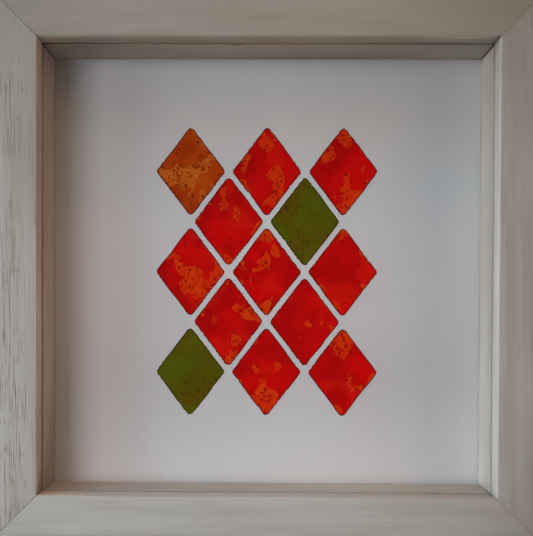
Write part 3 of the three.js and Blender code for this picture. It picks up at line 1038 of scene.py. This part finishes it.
def sheet_solid(maker, sheet, thickness):
    """Gives a sheet its thickness, along its normals, as a closed solid."""
    raised = {"Mesh": sheet, "Offset Scale": thickness, "Individual": False}
    raised = maker.step("ExtrudeMesh", raised, mode="FACES")
    return maker.joined(raised, maker.step("FlipFaces", {"Mesh": sheet}), merge=0.002 * MM)


TAB = {
    "length": 16 * MM, "width": 8 * MM, "in_wood": 5 * MM, "reach": 8 * MM, "kink": 3 * MM, "lift": 1.2 * MM,
    "thickness": SHEET_STEEL, "corner": 2.2 * MM,
}


def tab_maker():
    """Bent steel tabs, one on each point of the piece's first mesh, turned as the point says."""
    maker = Maker("back_tabs", TAB)
    sheet = maker.step("MeshGrid", {"Size X": 1.0, "Size Y": 1.0, "Vertices X": 33, "Vertices Y": 9})
    x, y, _ = maker.apart(maker.place())
    # More columns fall at the rounded free end; each one is as wide as the rounding leaves it.
    share = (x + 0.5).smaller(1.0)
    run = maker.given("length") * (1 - (1 - share) * (1 - share))
    past = (run - (maker.given("length") - maker.given("corner"))).larger(0.0) / maker.given("corner")
    left = (1 - past * past).larger(0.0)
    rounding = maker.given("corner") * (1 - left.root())
    across = y * (maker.given("width") - rounding * 2.0)
    rise = ((run - maker.given("in_wood") - maker.given("reach")) / maker.given("kink")).rising(0.0, 1.0)
    placed = maker.together(across, maker.given("lift") * rise, run - maker.given("in_wood"))
    tab = sheet_solid(maker, maker.moved(sheet, Position=placed), maker.given("thickness"))
    turn = maker.together(0.0, maker.kept("turn"), 0.0)
    tabs = {"Points": maker.start, "Instance": tab, "Rotation": turn}
    return maker.end(maker.step("InstanceOnPoints", tabs))


def make_tabs(material):
    places, angles = [], []
    for node in TAB_NODES:
        low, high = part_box(node)
        side = node.split("_")[2]
        middle = (low + high) / 2
        spot = {
            "bottom": (middle.x, low.y, LOW.z + REBATE_WALL), "top": (middle.x, low.y, HIGH.z - REBATE_WALL),
            "left": (LOW.x + REBATE_WALL, low.y, middle.z), "right": (HIGH.x - REBATE_WALL, low.y, middle.z),
        }[side]
        places.append(spot)
        angles.append(math.radians(90 * SIDES.index(side)))
    mesh = mesh_of("tab_places", places)
    mesh.attributes.new("turn", "FLOAT", "POINT").data.foreach_set("value", angles)
    tabs = tab_maker().make("bent_back_tabs", mesh, **TAB)
    finished(smoothed(bevelled(tabs, 0.1 * MM)), material, "tab_steel", *TAB_NODES)


def make_wedges(material):
    """Bent strips driven across the mitres, flush with the back."""
    for corner in CORNERS:
        node = f"corner_wedge_{corner}"
        xs, zs, low, high = bent_strip(corner)
        plan = [(xs[i], zs[j]) for i, j in ((0, 0), (2, 0), (2, 1), (1, 1), (1, 2), (0, 2))]
        points = [(x, y, z) for y in (low.y, high.y) for x, z in plan]
        count = len(plan)
        walls = [(i, (i + 1) % count, (i + 1) % count + count, i + count) for i in range(count)]
        caps = [tuple(range(count)), tuple(range(count, 2 * count))]
        wedge = link(f"driven_{node}", outward(mesh_of(node, points, faces=walls + caps)))
        finished(smoothed(bevelled(wedge, 0.12 * MM)), material, "tab_steel", node)


HANGER = {
    "length": 44 * MM, "height": 8 * MM, "thickness": 0.8 * MM, "flat": 11 * MM, "ramp": 3 * MM,
    "rise": 1.4 * MM, "teeth": 8, "pitch": 2.4 * MM, "tooth": 1.6 * MM, "hole": 0.85 * MM, "hole_at": 18 * MM,
}


def hanger_maker():
    """A toothed hanger: a strip that stands off the wood in its middle, with notches along its lower edge."""
    maker = Maker("toothed_hanger", HANGER, centre=Vector)
    length, height = maker.given("length"), maker.given("height")
    sheet = {"Size X": length, "Size Y": height, "Vertices X": 89, "Vertices Y": 5}
    sheet = maker.step("MeshGrid", sheet)
    x, y, _ = maker.apart(maker.place())
    stand = 1 - ((x.size() - maker.given("flat")) / maker.given("ramp")).rising(0.0, 1.0)
    bent = maker.together(x * -1.0, maker.given("rise") * stand, y)
    plate = sheet_solid(maker, maker.moved(sheet, Position=bent), maker.given("thickness"))
    # Square bars turned on their corner cut the teeth, and round ones the nail holes.
    deep = 8 * MM
    bar = maker.step("MeshCube", {"Size": maker.together(maker.given("tooth"), deep, maker.given("tooth"))})
    round_bar = maker.step("MeshCylinder", {"Vertices": 24, "Radius": maker.given("hole"), "Depth": deep})
    cut = maker.node("GeometryNodeMeshBoolean", {"Mesh 1": plate}, operation="DIFFERENCE")
    for tool, turn_deg, count, pitch, up in (
        (bar, (0, 45, 0), maker.given("teeth"), maker.given("pitch"), height * -0.5),
        (round_bar, (90, 0, 0), 2, maker.given("hole_at") * 2.0, 0.0),
    ):
        start = maker.together(pitch * (count - 1) * -0.5, 0.0, up)
        row = {"Count": count, "Start Location": start, "Offset": maker.together(pitch, 0.0, 0.0)}
        row = {"Points": maker.step("MeshLine", row, mode="OFFSET"), "Instance": tool}
        row = maker.step("InstanceOnPoints", {**row, "Rotation": [math.radians(angle) for angle in turn_deg]})
        maker.tree.links.new(maker.step("RealizeInstances", {0: row}), cut.inputs["Mesh 2"])
    placed = maker.plus(maker.place(), maker.given("centre"))
    return maker.end(maker.moved(cut.outputs[0], Position=placed))


# head and shank are radii, and length is how deep the nail goes.
NAIL = {
    "head": 1.7 * MM, "shank": 0.6 * MM, "height": 1 * MM, "rim": 0.12 * MM, "length": 8 * MM,
    "point": 1.5 * MM,
}
BUMPER = {"rim": 0.7 * MM, "ease": 0.2 * MM}


def dome(radius, rim, height, step_deg):
    """A dome's profile, from its rim to just short of its top."""
    turns = [math.radians(angle) for angle in range(0, 90, step_deg)]
    return [(radius * math.cos(turn), rim + (height - rim) * math.sin(turn)) for turn in turns]


def make_hanger(material):
    low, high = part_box("hanger_plate")
    name = "toothed_hanger_plate"
    centre = middle_at(low.y, low, high)
    plate = hanger_maker().make(name, mesh_of(name, [(0, 0, 0)]), centre=centre, **HANGER)
    finished(smoothed(bevelled(plate, 0.09 * MM)), material, "hanger_steel", "hanger_plate")
    head, shank, height, rim, length, point = NAIL.values()
    profile = [
        (0, -length), (shank, point - length), (shank, -0.1 * MM), (head * 0.6, 0), (head, 0.05 * MM),
        *dome(head, rim, height, 15), (0, height),
    ]
    for side in ("left", "right"):
        node = f"hanger_nail_{side}"
        low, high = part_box(node)
        nail = turned(f"domed_nail_{side}", profile, middle_at(high.y - height, low, high))
        finished(smoothed(nail, 50), material, "hanger_steel", node)


def make_bumpers(material):
    for side in ("left", "right"):
        low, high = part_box(f"bumper_{side}")
        radius, height, ease = (high.x - low.x) / 2, high.y - low.y, BUMPER["ease"]
        top = dome(radius, BUMPER["rim"], height, 10)
        profile = [(0, 0), (radius - ease, 0), (radius, ease), *top, (0, height)]
        bumper = turned(f"domed_bumper_{side}", profile, middle_at(low.y, low, high), 48)
        finished(smoothed(bumper, 50), material, "bumper_rubber", f"bumper_{side}")


# --- stage ---


def make_floor():
    corners = [(FLOOR_REACH * x, FLOOR_REACH * y, 0) for x, y in ((-1, -1), (1, -1), (1, 1), (-1, 1))]
    floor = link("pale_floor", mesh_of("pale_floor", corners, faces=[(0, 1, 2, 3)]))
    floor.data.materials.append(floor_paint())
    floor.visible_diffuse = False
    floor.visible_glossy = False
    floor.visible_shadow = False


def make_camera():
    camera = link("camera", bpy.data.cameras.new("camera"))
    long_side = max(IMAGE_PX)
    camera.data.sensor_width = SENSOR
    camera.data.lens = CAMERA["focal_px"] / long_side * SENSOR
    camera.data.shift_x = (IMAGE_PX[0] / 2 - CAMERA["axis_px"][0]) / long_side
    camera.data.shift_y = (CAMERA["axis_px"][1] - IMAGE_PX[1] / 2) / long_side
    camera.data.clip_start = 0.01
    camera.data.clip_end = 20
    place = Vector((CAMERA["aside"], FRONT - CAMERA["distance"], MIDDLE.z - CAMERA["below_middle"]))
    turn = Vector([math.radians(angle) for angle in CAMERA["turn_deg"]])
    camera.matrix_world = (
        Matrix.Translation(place)
        @ Matrix.Rotation(turn.length, 4, turn.normalized())
        @ Matrix.Rotation(math.pi / 2, 4, "X")
    )
    bpy.context.scene.camera = camera


# Lights: degrees round from the front and up, watts, tint, and whether they are mirrored, since most would
# show as bright squares in the glass.
LIGHTS = {
    "left_window": (-72, 0, 12.6, (0.79, 0.93, 1.0), False),
    "left_wall": (-88, 0, 76, (1.0, 0.96, 1.0), False),
    "high_left": (-72, 50, 20, (0.12, 0.63, 1.0), True),
    "room": (-30, 0, 8.6, (0.95, 0.92, 1.0), False),
    "right_lamp": (60, 25, 6.3, (1.0, 0.62, 0.32), False),
    "right_wall": (88, -20, 44, (1.0, 0.77, 0.69), False),
    "above": (0, 60, 3.3, (1.0, 0.92, 0.9), False),
    "ceiling": (0, 82, 29, (1.0, 0.53, 0.35), True),
    "back_left": (-155, 18, 11, (1.0, 0.96, 0.93), True),
    "back_right": (145, 16, 6, (1.0, 1.0, 1.0), True),
}
LIGHT_DISTANCE = 1.6
LIGHT_SIZE = 0.8


def make_lights():
    for name, (round_deg, up_deg, watts, tint, mirrored) in LIGHTS.items():
        lamp = bpy.data.lights.new(name, "AREA")
        lamp.size = LIGHT_SIZE
        lamp.energy = watts
        lamp.color = tint
        turn = Matrix.Rotation(math.radians(round_deg), 3, "Z")
        away = turn @ Matrix.Rotation(math.radians(-up_deg), 3, "X") @ -INTO
        held = link(name, lamp)
        held.location = MIDDLE + LIGHT_DISTANCE * away
        held.rotation_euler = (-away).to_track_quat("-Z", "Y").to_euler()
        held.visible_glossy = mirrored
        held.visible_camera = False


def make_world():
    """A pale backdrop that gives only a little light of its own."""
    world = bpy.data.worlds.new("studio")
    bpy.context.scene.world = world
    world.use_nodes = True
    graph = Graph(world.node_tree)
    world.node_tree.nodes.clear()
    path = graph.node("ShaderNodeLightPath").outputs
    seen, mirrored = Value(graph, path["Is Camera Ray"]), Value(graph, path["Is Glossy Ray"])
    more_seen, less_mirrored = max(BACKDROP) - BACKDROP_GLOW, BACKDROP_GLOW - BACKDROP_MIRRORED
    glow = graph.node("ShaderNodeBackground", {
        "Color": [part / max(BACKDROP) for part in BACKDROP],
        "Strength": BACKDROP_GLOW + more_seen * seen - less_mirrored * mirrored,
    })
    graph.node("ShaderNodeOutputWorld", {"Surface": glow.outputs[0]})


make_camera()
moulding = moulding_maker()
make_rails(moulding)
make_slips(moulding)
make_sheets()
make_lozenges()
steel = zinc_steel()
make_tabs(steel)
make_wedges(steel)
make_hanger(brassed_steel())
make_bumpers(soft_rubber())
make_floor()
make_lights()
make_world()
bpy.context.scene.view_settings.view_transform = "Standard"
